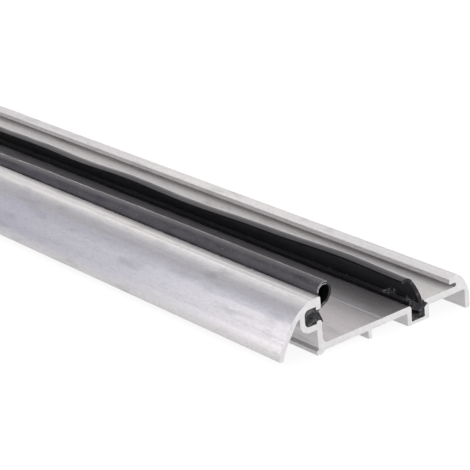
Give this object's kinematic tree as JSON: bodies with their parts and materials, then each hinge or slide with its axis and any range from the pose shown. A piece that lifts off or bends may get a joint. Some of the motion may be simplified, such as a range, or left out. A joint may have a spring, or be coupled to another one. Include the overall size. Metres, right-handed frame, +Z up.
{
  "type": "door threshold",
  "caption": "Extruded aluminium door threshold with a sloping deck, a curved outer nose, a bubble seal under the nose's lip and a flap seal standing in a slot.",
  "frame": {"origin": "on the floor, under the middle of the sill's length and width", "axes": "+X along the sill, towards the end where the bubble seal is trimmed back; +Y from the outside of the building to the inside; +Z up, square to the floor the feet stand on"},
  "size_m": [0.914, 0.0716, 0.0202],
  "materials": {
    "mill_aluminium": "as extruded, with fine lines along the length and sawn ends",
    "bubble_rubber": "smooth extruded rubber, dark grey",
    "flap_rubber": "smooth extruded rubber, black"
  },
  "bodies": {
    "root": {"sill_extrusion": "mill_aluminium", "bubble_seal": "bubble_rubber", "flap_seal": "flap_rubber"}
  },
  "joints": []
}
